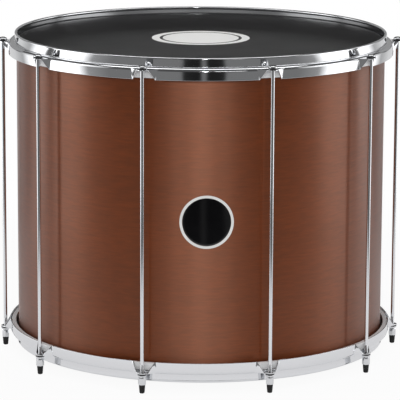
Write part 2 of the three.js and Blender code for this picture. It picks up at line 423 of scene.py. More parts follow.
def break_edges(thing: bpy.types.Object, width: float, strips: int, sharper_than: float) -> None:
    """Rounds an object's sharp edges.

    Args:
        thing: the object to change.
        width: width of the rounding, in millimetres.
        strips: strips across it.
        sharper_than: the least bend of an edge that is rounded, in degrees.
    """
    apply_modifier(
        thing,
        "BEVEL",
        width=width * MM,
        segments=strips,
        limit_method="ANGLE",
        angle_limit=math.radians(sharper_than),
    )


def cut(thing: bpy.types.Object, cutter: bpy.types.Object, operation: str = "DIFFERENCE") -> None:
    """Cuts an object with another one, which is then thrown away.

    Args:
        thing: the object to cut.
        cutter: the cutting object.
        operation: the boolean operation.
    """
    apply_modifier(thing, "BOOLEAN", operation=operation, object=cutter, solver="EXACT")
    bpy.data.objects.remove(cutter, do_unlink=True)


def join(name: str, parts: Sequence[bpy.types.Object]) -> bpy.types.Object:
    """Joins objects into one.

    Args:
        name: name of the joined object.
        parts: the objects; the first one keeps its data.

    Returns:
        The joined object.
    """
    take(*parts)
    bpy.ops.object.join()
    thing = bpy.context.object
    thing.name = thing.data.name = name
    return thing


def placed_copy(
    source: bpy.types.Object,
    name: str,
    place: Place = (0.0, 0.0, 0.0),
    turn_x: float = 0.0,
    turn_z: float = 0.0,
) -> bpy.types.Object:
    """A copy with a mesh of its own, turned about X, then about Z, and moved.

    Args:
        source: the object to copy.
        name: name of the copy.
        place: where the source's origin goes, in millimetres.
        turn_x: turn about X, in radians.
        turn_z: turn about Z, in radians.

    Returns:
        The copy, settled at the origin.
    """
    copy = source.copy()
    copy.data = source.data.copy()
    copy.name = copy.data.name = name
    bpy.context.collection.objects.link(copy)
    copy.rotation_euler = (turn_x, 0, turn_z)
    copy.location = [value * MM for value in place]
    return settle(copy)


def throw_away(*things: bpy.types.Object) -> None:
    """Removes patterns that only served to make copies."""
    for thing in things:
        bpy.data.objects.remove(thing, do_unlink=True)


def grey(level: float) -> Paint:
    """A grey of one brightness, with its alpha."""
    return (level, level, level, 1.0)


class Wiring:
    """Adds nodes to a node tree and joins their sockets."""

    def __init__(self, tree: bpy.types.NodeTree) -> None:
        """Takes the tree to work on.

        Args:
            tree: a material's, a world's or a group's node tree.
        """
        self.tree = tree

    @classmethod
    def blank(cls, owner: bpy.types.Material | bpy.types.World) -> Wiring:
        """Empties the node tree of a new material or world.

        Args:
            owner: the material or the world.

        Returns:
            The wiring of its tree.
        """
        owner.use_nodes = True
        owner.node_tree.nodes.clear()
        return cls(owner.node_tree)

    def add(self, kind: str, **settings: object) -> bpy.types.Node:
        """Adds a node.

        Args:
            kind: the node's type.
            settings: the node's own properties.

        Returns:
            The new node.
        """
        node = self.tree.nodes.new(kind)
        for key, value in settings.items():
            setattr(node, key, value)
        return node

    def feed(self, target: Socket, source: object) -> None:
        """Sets a socket from another socket or from a plain value.

        Args:
            target: the input socket.
            source: an output socket, or the value that the socket keeps.
        """
        if isinstance(source, Socket):
            self.tree.links.new(source, target)
        else:
            target.default_value = source

    def run(
        self,
        kind: str,
        inputs: dict[str | int, object],
        output: str | int = 0,
        **settings: object,
    ) -> Socket:
        """Adds a node and feeds it.

        Args:
            kind: the node's type.
            inputs: sockets or values for its inputs, by name or number.
            output: the output that is wanted.
            settings: the node's own properties.

        Returns:
            That output's socket.
        """
        node = self.add(kind, **settings)
        for key, source in inputs.items():
            self.feed(node.inputs[key], source)
        return node.outputs[output]

    def put_out(self, surface: Socket, kind: str = "ShaderNodeOutputMaterial") -> None:
        """Joins a shader to a new output node."""
        self.feed(self.add(kind).inputs["Surface"], surface)

    def object_place(self) -> Socket:
        """The Object coordinates."""
        return self.add("ShaderNodeTexCoord").outputs["Object"]

    def maths(self, operation: str, *values: object, clamp: bool = False) -> Socket:
        """Adds a Math node.

        Args:
            operation: the node's operation.
            values: its inputs, sockets or numbers.
            clamp: whether the result is kept between 0 and 1.

        Returns:
            The result's socket.
        """
        inputs = dict(enumerate(values))
        return self.run("ShaderNodeMath", inputs, operation=operation, use_clamp=clamp)

    def stretch(self, vector: object, along: object, across: object) -> Socket:
        """Scales a vector by one factor in X and Y and another in Z.

        Args:
            vector: the vector's socket.
            along: factor in X and Y.
            across: factor in Z.

        Returns:
            The scaled vector's socket.
        """
        factors = self.run("ShaderNodeCombineXYZ", {"X": along, "Y": along, "Z": across})
        return self.run("ShaderNodeVectorMath", {0: vector, 1: factors}, operation="MULTIPLY")

    def parts(self, vector: object) -> bpy.types.NodeOutputs:
        """Splits a vector into its X, Y and Z.

        Args:
            vector: the vector's socket.

        Returns:
            The sockets of its parts.
        """
        node = self.add("ShaderNodeSeparateXYZ")
        self.feed(node.inputs[0], vector)
        return node.outputs

    def length(self, vector: object) -> Socket:
        """The length of a vector."""
        return self.run("ShaderNodeVectorMath", {0: vector}, "Value", operation="LENGTH")

    def noise(self, vector: object, scale: object, detail: float) -> Socket:
        """Adds a noise texture.

        Args:
            vector: the place it reads.
            scale: its scale.
            detail: its octaves.

        Returns:
            The noise's value, about 0.5 on average.
        """
        inputs = {"Vector": vector, "Scale": scale, "Detail": detail}
        return self.run("ShaderNodeTexNoise", inputs, "Fac")

    def spread(self, value: object, low: object, high: object) -> Socket:
        """Maps a value from low..high to 0..1 and keeps it there.

        Args:
            value: the value's socket.
            low: the value that becomes 0.
            high: the value that becomes 1.

        Returns:
            The mapped value's socket.
        """
        inputs = {"Value": value, "From Min": low, "From Max": high}
        curve = {"clamp": True, "interpolation_type": "SMOOTHSTEP"}
        return self.run("ShaderNodeMapRange", inputs, "Result", **curve)

    def blend(self, factor: object, first: object, second: object, kind: str = "MIX") -> Socket:
        """Mixes two colours.

        Args:
            factor: 0 for the first colour, 1 for the second.
            first: the first colour.
            second: the second colour.
            kind: how they are mixed.

        Returns:
            The mixed colour's socket.
        """
        colour_a, colour_b, mixed = 6, 7, 2
        inputs = {"Factor": factor, colour_a: first, colour_b: second}
        return self.run("ShaderNodeMix", inputs, mixed, data_type="RGBA", blend_type=kind)


class Effect(Enum):
    """The shader effects that several finishes share, each a node group that is built once."""

    GRAIN = "long_grain"
    HANDLING = "handling_marks"
    # EDGES is a painted highlight on outer edges, found by pointiness.
    EDGES = "bright_edges"
    DISC = "printed_disc"
    THREAD = "thread_ridges"


EFFECT_INPUTS: dict[Effect, tuple[str, ...]] = {
    Effect.GRAIN: ("along", "across", "contrast"),
    Effect.HANDLING: ("scale", "amount"),
    Effect.EDGES: ("start", "end"),
    Effect.DISC: ("radius", "band_outer", "band_inner", "softness"),
    Effect.THREAD: ("pitch", "top"),
}


@dataclass
class EffectShelf:
    """Keeps the effects' node groups and builds each of them on first use."""

    groups: dict[Effect, bpy.types.NodeTree] = field(default_factory=dict)

    def group(self, effect: Effect) -> bpy.types.NodeTree:
        """Returns an effect's group; it puts out one value, called Mask.

        Args:
            effect: which effect.

        Returns:
            The node group.
        """
        if effect not in self.groups:
            self.groups[effect] = self._build(effect)
        return self.groups[effect]

    def _build(self, effect: Effect) -> bpy.types.NodeTree:
        """Builds one effect's group.

        Args:
            effect: which effect.

        Returns:
            The node group.
        """
        tree = bpy.data.node_groups.new(effect.value, "ShaderNodeTree")
        tree.interface.new_socket(name="Vector", in_out="INPUT", socket_type="NodeSocketVector")
        for name in EFFECT_INPUTS[effect]:
            tree.interface.new_socket(name=name, in_out="INPUT", socket_type="NodeSocketFloat")
        tree.interface.new_socket(name="Mask", in_out="OUTPUT", socket_type="NodeSocketFloat")
        wiring = Wiring(tree)
        ins = wiring.add("NodeGroupInput").outputs
        outside = wiring.add("NodeGroupOutput")
        makers: dict[Effect, Callable[[Wiring, bpy.types.NodeOutputs], Socket]] = {
            Effect.GRAIN: self._grain,
            Effect.HANDLING: self._handling,
            Effect.EDGES: self._edge_highlight,
            Effect.DISC: self._disc,
            Effect.THREAD: self._thread,
        }
        wiring.feed(outside.inputs["Mask"], makers[effect](wiring, ins))
        return tree

    @staticmethod
    def _grain(wiring: Wiring, ins: bpy.types.NodeOutputs) -> Socket:
        """Long streaks that run round the piece, 0 to 1, with finer ones mixed in.

        Args:
            wiring: the group's wiring.
            ins: the group's inputs.

        Returns:
            The mask's socket.
        """
        finer_along, finer_across, fine_share, half_range = 2.3, 3.1, 0.45, 0.25
        coarse = wiring.stretch(ins["Vector"], ins["along"], ins["across"])
        finer = wiring.stretch(coarse, finer_along, finer_across)
        streaks = wiring.noise(coarse, scale=1.0, detail=5.0)
        fine = wiring.noise(finer, scale=1.0, detail=3.0)
        main = wiring.maths("MULTIPLY", streaks, 1.0 - fine_share)
        both = wiring.maths("MULTIPLY_ADD", fine, fine_share, main)
        reach = wiring.maths("DIVIDE", half_range, ins["contrast"])
        low, high = (wiring.maths(side, 0.5, reach) for side in ("SUBTRACT", "ADD"))
        return wiring.spread(both, low, high)

    @staticmethod
    def _handling(wiring: Wiring, ins: bpy.types.NodeOutputs) -> Socket:
        """Soft marks from hands and dust: a value round 0, up to the amount either way.

        Args:
            wiring: the group's wiring.
            ins: the group's inputs.

        Returns:
            The mask's socket.
        """
        marks = wiring.noise(ins["Vector"], ins["scale"], detail=4.0)
        swing = wiring.maths("MULTIPLY_ADD", marks, 2.0, -1.0)
        return wiring.maths("MULTIPLY", swing, ins["amount"])

    @staticmethod
    def _edge_highlight(wiring: Wiring, ins: bpy.types.NodeOutputs) -> Socket:
        """Outer edges picked out by pointiness for a painted highlight, broken up a little, 0 to
        1.

        Args:
            wiring: the group's wiring.
            ins: the group's inputs.

        Returns:
            The mask's socket.
        """
        geometry = wiring.add("ShaderNodeNewGeometry")
        # Pointiness is high on outer edges, which the finishes paint lighter as a highlight.
        edges = wiring.spread(geometry.outputs["Pointiness"], ins["start"], ins["end"])
        specks = wiring.noise(ins["Vector"], scale=900.0, detail=2.0)
        return wiring.maths("MULTIPLY", edges, wiring.spread(specks, low=0.35, high=0.6))

    @staticmethod
    def _disc(wiring: Wiring, ins: bpy.types.NodeOutputs) -> Socket:
        """A plain printed disc about Z with one open band in it, 1 where there is ink.

        Args:
            wiring: the group's wiring.
            ins: the group's inputs.

        Returns:
            The mask's socket.
        """
        ragged = 0.4 * MM
        from_axis = wiring.length(wiring.stretch(ins["Vector"], along=1.0, across=0.0))
        specks = wiring.noise(ins["Vector"], scale=700.0, detail=2.0)
        away = wiring.maths(
            "MULTIPLY_ADD", wiring.maths("SUBTRACT", specks, 0.5), ragged, from_axis
        )

        def inside_of(radius: Socket) -> Socket:
            """1 within a radius and 0 outside it."""
            inner = wiring.maths("SUBTRACT", radius, ins["softness"])
            return wiring.maths("SUBTRACT", 1.0, wiring.spread(away, inner, radius))

        band = wiring.maths("SUBTRACT", inside_of(ins["band_outer"]), inside_of(ins["band_inner"]))
        return wiring.maths("SUBTRACT", inside_of(ins["radius"]), band, clamp=True)

    @staticmethod
    def _thread(wiring: Wiring, ins: bpy.types.NodeOutputs) -> Socket:
        """Ridges along Z below a height, 0 to 1.

        Args:
            wiring: the group's wiring.
            ins: the group's inputs.

        Returns:
            The mask's socket.
        """
        height = wiring.parts(ins["Vector"])["Z"]
        turns = wiring.maths("DIVIDE", height, ins["pitch"])
        ridge = wiring.maths("MULTIPLY", wiring.maths("PINGPONG", turns, 0.5), 2.0)
        return wiring.maths("MULTIPLY", ridge, wiring.maths("LESS_THAN", height, ins["top"]))


SHELF = EffectShelf()


@dataclass(frozen=True)
class Surface:
    """A material that is being dressed: its wiring, its shader and its Object coordinates."""

    wiring: Wiring
    shader: bpy.types.Node
    place: Socket

    def noise(self, scale: float, detail: float) -> Socket:
        """Noise over the surface."""
        return self.wiring.noise(self.place, scale, detail)

    def mask(self, effect: Effect, **values: float) -> Socket:
        """Places an effect in the material.

        Args:
            effect: which effect.
            values: the effect's own inputs.

        Returns:
            The effect's mask.
        """
        inputs = {"Vector": self.place, **values}
        group = SHELF.group(effect)
        return self.wiring.run("ShaderNodeGroup", inputs, "Mask", node_tree=group)

    def relief(self, height: object, strength: float, depth: float) -> None:
        """Joins a height to the shader's normal.

        Args:
            height: the height's socket, 0 to 1.
            strength: the bump's strength.
            depth: depth of the relief, in millimetres.
        """
        inputs = {"Strength": strength, "Distance": depth * MM, "Height": height}
        normal = self.wiring.run("ShaderNodeBump", inputs, "Normal")
        self.wiring.feed(self.shader.inputs["Normal"], normal)


@dataclass(frozen=True)
class Finish:
    """A surface finish: one procedural material and the name of the slot that it belongs to."""

    name: str
    slot: str
    colour: Colour
    roughness: float
    metallic: float = 0.0
    coat: float = 0.0
    coat_roughness: float = 0.1
    ior: float = 1.5

    def material(self) -> bpy.types.Material:
        """Builds the material, or returns it if it is already there.

        Returns:
            The material.
        """
        known = bpy.data.materials.get(self.name)
        if known:
            return known
        made = bpy.data.materials.new(self.name)
        wiring = Wiring.blank(made)
        shader = wiring.add("ShaderNodeBsdfPrincipled")
        wiring.put_out(shader.outputs[0])
        shader.inputs["Metallic"].default_value = self.metallic
        shader.inputs["IOR"].default_value = self.ior
        shader.inputs["Coat Weight"].default_value = self.coat
        shader.inputs["Coat Roughness"].default_value = self.coat_roughness
        self.dress(Surface(wiring, shader, wiring.object_place()))
        return made

    def dress(self, on: Surface) -> None:
        """Gives the surface its colour, roughness and relief.

        Args:
            on: the surface.
        """
        raise NotImplementedError

    def shade(self, factor: float) -> Paint:
        """The finish's colour, lighter or darker.

        Args:
            factor: what the colour is multiplied by.

        Returns:
            The colour with its alpha.
        """
        return (*(min(channel * factor, 1.0) for channel in self.colour), 1.0)

    def tint(self, on: Surface, mask: object, low: float, high: float) -> None:
        """Lets a mask run between two shades of the finish's colour.

        Args:
            on: the surface.
            mask: 0 for the first shade, 1 for the second.
            low: the first shade, as a factor of the colour.
            high: the second shade.
        """
        colour = on.wiring.blend(mask, self.shade(low), self.shade(high))
        on.wiring.feed(on.shader.inputs["Base Color"], colour)

    def handle(self, on: Surface, scale: float, amount: float) -> None:
        """Lets handling marks swing the roughness round the finish's own.

        Args:
            on: the surface.
            scale: scale of the marks.
            amount: how far the roughness swings.
        """
        swing = on.mask(Effect.HANDLING, scale=scale, amount=amount)
        roughness = on.wiring.maths("ADD", swing, self.roughness, clamp=True)
        on.wiring.feed(on.shader.inputs["Roughness"], roughness)


@dataclass(frozen=True)
class StainedVeneer(Finish):
    """Stained veneer under satin lacquer, with its grain running round the shell."""

    dark: float = 0.65
    light: float = 1.31
    glint: Colour = (1.0, 0.52, 0.36)
    glint_level: float = 1.0
    streak: float = 1.0
    streak_turn: float = 0.25
    tone_swing: float = 0.1

    def dress(self, on: Surface) -> None:
        """Grain, slow changes of tone, satin lacquer.

        Args:
            on: the surface.
        """
        wiring, inputs = on.wiring, on.shader.inputs
        grain = on.mask(Effect.GRAIN, along=34.0, across=360.0, contrast=1.0)
        broad = on.mask(Effect.GRAIN, along=2.6, across=8.0, contrast=1.2)
        paler, deeper = self.shade(1.0 + self.tone_swing), self.shade(1.0 - self.tone_swing)
        tone = wiring.blend(broad, deeper, paler)
        shades = wiring.blend(grain, grey(self.dark), grey(self.light))
        wiring.feed(inputs["Base Color"], wiring.blend(1.0, tone, shades, "MULTIPLY"))
        self.handle(on, scale=9.0, amount=0.05)
        inputs["Specular Tint"].default_value = (*self.glint, 1.0)
        inputs["Specular IOR Level"].default_value = self.glint_level
        inputs["Anisotropic"].default_value = self.streak
        inputs["Anisotropic Rotation"].default_value = self.streak_turn
        tangent = wiring.add("ShaderNodeTangent", direction_type="RADIAL", axis="Z")
        wiring.feed(inputs["Tangent"], tangent.outputs[0])
        on.relief(grain, strength=0.12, depth=0.05)


@dataclass(frozen=True)
class Plated(Finish):
    """Chrome plate with faint haze, and a painted highlight on its outer edges."""

    thread_top: float = 0.0
    thread_pitch: float = 1.0

    def dress(self, on: Surface) -> None:
        """Plate colour, haze, a painted edge highlight, and the rod's thread where it has one.

        Args:
            on: the surface.
        """
        # Outer edges are painted up to 12 % lighter: a painted highlight.
        self.tint(on, on.mask(Effect.EDGES, start=0.53, end=0.62), low=1.0, high=1.12)
        self.handle(on, scale=60.0, amount=0.03)
        if self.thread_top:
            pitch, top = self.thread_pitch * MM, self.thread_top * MM
            on.relief(on.mask(Effect.THREAD, pitch=pitch, top=top), strength=0.8, depth=0.3)
        else:
            on.relief(on.noise(scale=35.0, detail=1.0), strength=0.04, depth=0.4)


@dataclass(frozen=True)
class SpunMetal(Finish):
    """Bare light metal with fine turning marks."""

    def dress(self, on: Surface) -> None:
        """Turning marks in colour, gloss and relief.

        Args:
            on: the surface.
        """
        lines = on.mask(Effect.GRAIN, along=6.0, across=1400.0, contrast=1.3)
        self.tint(on, lines, low=0.86, high=1.08)
        self.handle(on, scale=25.0, amount=0.06)
        on.relief(lines, strength=0.1, depth=0.05)


@dataclass(frozen=True)
class DrumFilm(Finish):
    """Black plastic film with a slight mottle, and a plain white disc where one is printed."""

    ink: Colour = (0.93, 0.93, 0.91)
    disc_radius: float = 0.0
    band_outer: float = 0.0
    band_inner: float = 0.0
    ink_edge: float = 0.35
    mottle_dark: float = 0.85
    mottle_light: float = 1.25

    def dress(self, on: Surface) -> None:
        """Mottle, ink and a fine matt texture.

        Args:
            on: the surface.
        """
        wiring = on.wiring
        mottle = wiring.spread(on.noise(scale=30.0, detail=5.0), low=0.35, high=0.65)
        film = wiring.blend(mottle, self.shade(self.mottle_dark), self.shade(self.mottle_light))
        if self.disc_radius:
            disc = on.mask(
                Effect.DISC,
                radius=self.disc_radius * MM,
                band_outer=self.band_outer * MM,
                band_inner=self.band_inner * MM,
                softness=self.ink_edge * MM,
            )
            film = wiring.blend(disc, film, (*self.ink, 1.0))
        wiring.feed(on.shader.inputs["Base Color"], film)
        self.handle(on, scale=7.0, amount=0.06)
        on.relief(on.noise(scale=1500.0, detail=2.0), strength=0.08, depth=0.05)


@dataclass(frozen=True)
class Moulded(Finish):
    """Moulded rubber or nylon with a fine skin, and a painted highlight on its edges."""

    def dress(self, on: Surface) -> None:
        """Skin texture, and edges painted lighter as a highlight.

        Args:
            on: the surface.
        """
        # The edges are painted up to 2.6 times lighter: a painted highlight.
        self.tint(on, on.mask(Effect.EDGES, start=0.52, end=0.62), low=1.0, high=2.6)
        self.handle(on, scale=120.0, amount=0.08)
        on.relief(on.noise(scale=2200.0, detail=3.0), strength=0.25, depth=0.06)


@dataclass(frozen=True)
class Enamel(Finish):
    """Glossy enamel with a slight orange peel."""

    def dress(self, on: Surface) -> None:
        """Slow change of tone, gloss and orange peel.

        Args:
            on: the surface.
        """
        drift = on.wiring.spread(on.noise(scale=40.0, detail=3.0), low=0.3, high=0.7)
        self.tint(on, drift, low=0.94, high=1.05)
        self.handle(on, scale=80.0, amount=0.04)
        on.relief(on.noise(scale=500.0, detail=2.0), strength=0.06, depth=0.08)


VENEER = StainedVeneer(
    "stained_veneer",
    "stained_wood",
    (0.120, 0.0225, 0.0020),
    0.38,
    coat=0.06,
    coat_roughness=0.20,
    ior=1.62,
)
BRIGHT_PLATE = (0.80, 0.81, 0.83)
HOOP_PLATE = Plated("hoop_plate", "hoop_chrome", BRIGHT_PLATE, 0.08, metallic=1.0)
ROD_PLATE = Plated("rod_plate", "rod_chrome", BRIGHT_PLATE, 0.10, metallic=1.0, thread_top=46.0)
NUT_PLATE = Plated("nut_plate", "rod_chrome", (0.76, 0.77, 0.79), 0.14, metallic=1.0)
FLESH_METAL = SpunMetal("flesh_metal", "flesh_hoop", (0.86, 0.87, 0.88), 0.42, metallic=0.15)
FILM_BLACK = (0.0085, 0.0080, 0.0087)
BATTER_FILM = DrumFilm(
    "printed_film",
    "black_film",
    FILM_BLACK,
    0.44,
    disc_radius=81.0,
    band_outer=68.0,
    band_inner=63.0,
)
RESONANT_FILM = DrumFilm("plain_film", "black_film", FILM_BLACK, 0.44)
NYLON = Moulded("washer_nylon", "nylon", (0.016, 0.016, 0.017), 0.45)
RUBBER = Moulded("foot_rubber", "foot_rubber", (0.015, 0.015, 0.015), 0.62)
FIELD_ENAMEL = Enamel(
    "field_enamel", "badge_field", (0.003, 0.003, 0.0035), 0.12, coat=0.2, coat_roughness=0.05
)
RIM_ENAMEL = Enamel(
    "rim_enamel", "badge_rim", (0.86, 0.86, 0.84), 0.25, coat=0.4, coat_roughness=0.06
)


def dress(
    piece: bpy.types.Object, finish: Finish, body: str, nodes: Iterable[str]
) -> bpy.types.Object:
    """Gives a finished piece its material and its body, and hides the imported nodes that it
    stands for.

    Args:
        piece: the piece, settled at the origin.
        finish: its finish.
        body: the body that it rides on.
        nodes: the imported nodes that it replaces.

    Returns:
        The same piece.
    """
    piece.data.materials.clear()
    piece.data.materials.append(finish.material())
    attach(piece, body)
    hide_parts(*nodes)
    LOG.info("%s: %d faces, %s", piece.name, len(piece.data.polygons), finish.name)
    return piece


def at_both_ends(
    pattern: bpy.types.Object, heights: tuple[float, float], *pieces: tuple[str, Finish, str]
) -> None:
    """Places a pattern at the top and, turned over, at the bottom, and dresses both copies.

    Args:
        pattern: the pattern, which is then thrown away.
        heights: where its z = 0 goes at the top and at the bottom.
        pieces: name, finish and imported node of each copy.
    """
    for (name, finish, node), height, turn_x in zip(pieces, heights, (0.0, math.pi)):
        piece = placed_copy(pattern, name, (0.0, 0.0, height), turn_x)
        dress(piece, finish, Body.DRUM.value, [node])
    throw_away(pattern)


@dataclass
class Shell:
    """The wooden shell: an open tube with rounded bearing edges."""

    outer_round: float = 4.0
    inner_bevel: float = 3.0
    edge_break: float = 0.8

    def build(self) -> None:
        """Turns the tube and gives it its veneer."""
        inner = LAYOUT.shell_radius - LAYOUT.shell_wall
        base, top = LAYOUT.shell_base, LAYOUT.shell_top
        corners = [
            (inner, base + self.inner_bevel, self.edge_break),
            (inner + self.inner_bevel, base, self.edge_break),
            (LAYOUT.shell_radius, base, self.outer_round),
            (LAYOUT.shell_radius, top, self.outer_round),
            (inner + self.inner_bevel, top, self.edge_break),
            (inner, top - self.inner_bevel, self.edge_break),
        ]
        tube = turn(SHELL_PIECE, rounded(corners), LAYOUT.ring_segments)
        dress(tube, VENEER, Body.DRUM.value, ["shell"])


@dataclass
class Head:
    """A film head with its collar and hem, and the flesh hoop that grips it.

    z = 0 is the head's bearing edge.
    """

    collar_round: float = 4.0
    hem_drop: float = 11.0
    hem_reach: float = 310.8
    hoop_inner: float = 308.2
    hoop_outer: float = 315.5
    hoop_top: float = -3.6
    hoop_base: float = -18.8
    hoop_bevel: float = 4.0
    hoop_shoulder: float = 1.5
    hoop_lip: float = 0.5
    hoop_heel: float = 0.8
    groove_depth: float = 311.1
    groove_play: float = 0.3
    groove_break: float = 0.3
    hoop_steps: int = 3
    flat_rings: tuple[float, ...] = (60.0, 120.0, 180.0, 240.0, 296.0)
    collar_steps: int = 8

    def film_pattern(self) -> bpy.types.Object:
        """Turns the film.

        Returns:
            The pattern, at the origin.
        """
        centre = (LAYOUT.shell_radius - self.collar_round, -self.collar_round)
        under = self.collar_round + LAYOUT.seat_gap
        over = under + LAYOUT.film
        low, high = LAYOUT.seat_gap, LAYOUT.seat_gap + LAYOUT.film
        hem_base = -self.hem_drop - 2 * LAYOUT.film
        section = [
            (0.0, high),
            *((r, high) for r in self.flat_rings),
            *arc(centre, over, 90, 0, self.collar_steps),
            (centre[0] + over, -self.hem_drop),
            (self.hem_reach, -self.hem_drop),
            (self.hem_reach, hem_base),
            (centre[0] + under, hem_base),
            *arc(centre, under, 0, 90, self.collar_steps),
            (0.0, low),
        ]
        return turn("film_pattern", section, LAYOUT.ring_segments)

    def hoop_pattern(self) -> bpy.types.Object:
        """Turns the flesh hoop with the groove that grips the hem.

        Returns:
            The pattern, at the origin.
        """
        groove_top = -self.hem_drop + self.groove_play
        groove_base = -self.hem_drop - 2 * LAYOUT.film - self.groove_play
        corners = [
            (self.hoop_inner, self.hoop_top, self.hoop_lip),
            (self.hoop_outer - self.hoop_bevel, self.hoop_top, self.hoop_shoulder),
            (self.hoop_outer, self.hoop_top - self.hoop_bevel, self.hoop_shoulder),
            (self.hoop_outer, self.hoop_base, self.hoop_heel),
            (self.hoop_inner, self.hoop_base, self.hoop_heel),
            (self.hoop_inner, groove_base, self.groove_break),
            (self.groove_depth, groove_base, self.groove_break),
            (self.groove_depth, groove_top, self.groove_break),
            (self.hoop_inner, groove_top, self.groove_break),
        ]
        return turn("flesh_pattern", rounded(corners, self.hoop_steps), LAYOUT.ring_segments)

    def build(self) -> None:
        """Places both heads and both flesh hoops."""
        edges = (LAYOUT.shell_top, LAYOUT.shell_base)
        at_both_ends(
            self.film_pattern(),
            edges,
            (FILM_PIECE, BATTER_FILM, "batter_head"),
            ("resonant_film", RESONANT_FILM, "resonant_head"),
        )
        at_both_ends(
            self.hoop_pattern(),
            edges,
            ("top_flesh_ring", FLESH_METAL, "top_flesh_hoop"),
            ("bottom_flesh_ring", FLESH_METAL, "bottom_flesh_hoop"),
        )


@dataclass
class Counterhoop:
    """The pressed steel hoop with its ten rod ears.

    z = 0 is its rim, and +X points along an ear.
    """

    bead_centre: Point = (304.7, -2.4)
    bead_radius: float = 2.4
    bead_start: float = -22.5
    bead_end: float = 240.0
    bead_steps: int = 16
    wall_inner: float = 305.4
    wall_top: float = -5.2
    step_top: float = -14.8
    skirt_inner: float = 316.1
    mouth: float = -34.2
    inner_bend: float = 0.8
    shoulder_round: float = 5.5
    bend_steps: int = 6
    edge_break: float = 0.5
    plate_top: float = -17.0
    plate_break: float = 0.4
    tip_centre: float = 325.2
    tip_round: float = 8.6
    tip_angle: float = 46.25
    tip_steps: int = 12
    flare_start: Point = (315.1, 24.4)
    flare_corner: Point = (317.6, 20.8)
    flare_round: float = 13.0
    flare_steps: int = 4
    gusset_reach: float = 327.6
    gusset_drift: float = 2.4
    neck_half: float = 3.4
    neck_cut: float = 10.0
    window_half: float = 17.4
    window_top: float = -19.7
    window_round: float = 4.0

    def ring(self) -> bpy.types.Object:
        """Turns the beaded wall, the step and the skirt, and cuts the ten windows.

        Returns:
            The pattern, at the origin.
        """
        sheet = LAYOUT.sheet
        ends = (self.bead_start, self.bead_end)
        bead = arc(self.bead_centre, self.bead_radius, *ends, self.bead_steps)
        corners = [
            *((r, z, 0.0) for r, z in bead),
            (self.wall_inner, self.wall_top, self.inner_bend),
            (self.wall_inner, self.step_top - sheet, self.inner_bend + sheet),
            (self.skirt_inner, self.step_top - sheet, self.shoulder_round - sheet),
            (self.skirt_inner, self.mouth, self.edge_break),
            (self.skirt_inner + sheet, self.mouth, self.edge_break),
            (self.skirt_inner + sheet, self.step_top, self.shoulder_round),
            (self.wall_inner + sheet, self.step_top, self.inner_bend),
        ]
        ring = turn("hoop_pattern", rounded(corners, self.bend_steps), LAYOUT.ring_segments)
        cut(ring, self.window_cutters())
        return finish_mesh(ring)

    def window_cutters(self) -> bpy.types.Object:
        """Ten rounded blocks, one behind each ear.

        Returns:
            The blocks as one object.
        """
        inner = self.wall_inner + LAYOUT.sheet
        low = (inner, -self.window_half, 2 * self.mouth)
        high = (self.gusset_reach, self.window_half, self.window_top)
        pattern = block("window_pattern", low, high, self.window_round)
        cutters = self.round_the_hoop(pattern, "window")
        return join("window_cutters", cutters)

    def round_the_hoop(self, pattern: bpy.types.Object, name: str) -> list[bpy.types.Object]:
        """Copies a pattern to every station and throws the pattern away.

        Args:
            pattern: the piece, along +X.
            name: stem of the copies' names.

        Returns:
            The copies.
        """
        copies = [
            placed_copy(pattern, f"{name}_{n:02d}", turn_z=LAYOUT.station_angle(n))
            for n in range(1, LAYOUT.station_count + 1)
        ]
        throw_away(pattern)
        return copies

    def side_at(self, x: float) -> float:
        """Half the ear plate's width at a distance from the drum's axis.

        Args:
            x: the distance, in millimetres.

        Returns:
            The half-width.
        """
        angle = math.radians(self.tip_angle)
        tangent_x = self.tip_centre + self.tip_round * math.cos(angle)
        tangent_y = self.tip_round * math.sin(angle)
        return tangent_y + (tangent_x - x) / math.tan(angle)

    def ear_side(self) -> list[Point]:
        """Plan of the ear's left side, from where it leaves the skirt to its reach.

        Returns:
            The outline's points.
        """
        reach = (self.gusset_reach, self.side_at(self.gusset_reach))
        corners = [(*self.flare_start, 0.0), (*self.flare_corner, self.flare_round), (*reach, 0.0)]
        return rounded(corners, self.flare_steps)

    def ear(self) -> bpy.types.Object:
        """One ear: a plate with a round tip, folded down along both sides into gussets.

        Returns:
            The pattern, at the origin.
        """
        left = self.ear_side()
        right = [(x, -y) for x, y in left]
        ends = (-self.tip_angle, self.tip_angle)
        tip = arc((self.tip_centre, 0.0), self.tip_round, *ends, self.tip_steps)
        plate = trace("ear_pattern", [*right, *tip, *reversed(left)], self.plate_top)
        for side in (-1, 1):
            self.fold_gusset(plate, left, side)
        face_up(plate)
        apply_modifier(plate, "SOLIDIFY", thickness=LAYOUT.sheet * MM, offset=-1)
        rod, neck, reach = LAYOUT.rod_circle, self.neck_half, self.neck_cut
        low = (rod - neck, -neck, self.plate_top - reach)
        cut(plate, block("neck_cutter", low, (rod + neck, neck, self.plate_top + reach)))
        break_edges(plate, self.plate_break, strips=2, sharper_than=50.0)
        return finish_mesh(plate, smooth_angle=40.0)

    def fold_gusset(self, plate: bpy.types.Object, left: Sequence[Point], side: int) -> None:
        """Folds one side down to the mouth and trims it along a straight slant to the skirt.

        Args:
            plate: the flat plate.
            left: plan of the left side.
            side: −1 or 1, the side of the plate along Y.
        """
        edit(plate)
        top = self.plate_top * MM
        edge = [Vector((x * MM, side * y * MM, top)) for x, y in left]
        near = SAME_PLACE * MM
        select_where(plate, "VERT", lambda v: any((v.co - point).length < near for point in edge))
        bpy.ops.mesh.select_mode(type="EDGE")
        extrude_by(0, -side * self.gusset_drift, self.mouth - self.plate_top)
        select_where(plate, "FACE", lambda f: f.center.z < top - MM and side * f.center.y > 0)
        skirt = self.skirt_inner + LAYOUT.sheet
        run, drop = self.gusset_reach - skirt, self.plate_top - self.mouth
        outward = Vector((drop, 0, -run)).normalized()
        bpy.ops.mesh.bisect(
            plane_co=(self.gusset_reach * MM, 0, top), plane_no=outward, clear_outer=True
        )
        leave_edit_mode()

